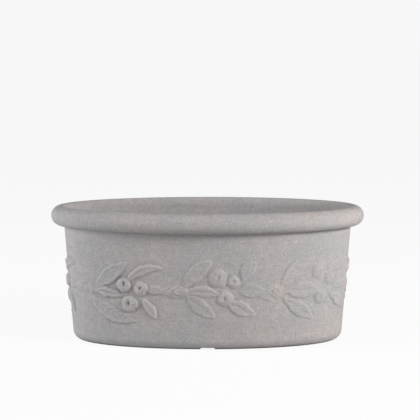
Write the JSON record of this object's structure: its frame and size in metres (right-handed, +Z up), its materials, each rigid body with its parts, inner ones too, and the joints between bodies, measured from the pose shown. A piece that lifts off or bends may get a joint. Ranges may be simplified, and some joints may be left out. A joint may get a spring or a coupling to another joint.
{
  "type": "planter box",
  "caption": "Oval tub planter with a rolled rim and a raised fruit-and-leaf garland, a lift-out drainage grid and pull-out drain plugs.",
  "frame": {"origin": "on the ground, under the middle of the tub", "axes": "+X along the tub's length to the right as seen from the front, +Y towards the back, +Z up; the front faces -Y"},
  "size_m": [0.6, 0.32, 0.26],
  "materials": {
    "stone_effect": "matt grey stone effect, finely speckled, slightly warm and cool patches",
    "grid_plastic": "fine matt moulded texture",
    "plug_plastic": "satin moulded",
    "seal_rubber": "matt"
  },
  "bodies": {
    "planter": {"planter_shell": "stone_effect"},
    "grid": {"drainage_grid": "grid_plastic"},
    "plug_front_left": {"drain_plug_front_left": "plug_plastic", "plug_seal_front_left": "seal_rubber"},
    "plug_front_right": {"drain_plug_front_right": "plug_plastic", "plug_seal_front_right": "seal_rubber"},
    "plug_rear_left": {"drain_plug_rear_left": "plug_plastic", "plug_seal_rear_left": "seal_rubber"},
    "plug_rear_right": {"drain_plug_rear_right": "plug_plastic", "plug_seal_rear_right": "seal_rubber"}
  },
  "joints": [
    {"name": "grid_lift", "type": "slide", "parent": "planter", "child": "grid", "axis": [0, 0, 1], "range_m": [0, 0.25]},
    {"name": "plug_pull_front_left", "type": "slide", "parent": "planter", "child": "plug_front_left", "axis": [0, 0, 1], "range_m": [0, 0.02]},
    {"name": "plug_pull_front_right", "type": "slide", "parent": "planter", "child": "plug_front_right", "axis": [0, 0, 1], "range_m": [0, 0.02]},
    {"name": "plug_pull_rear_left", "type": "slide", "parent": "planter", "child": "plug_rear_left", "axis": [0, 0, 1], "range_m": [0, 0.02]},
    {"name": "plug_pull_rear_right", "type": "slide", "parent": "planter", "child": "plug_rear_right", "axis": [0, 0, 1], "range_m": [0, 0.02]}
  ]
}
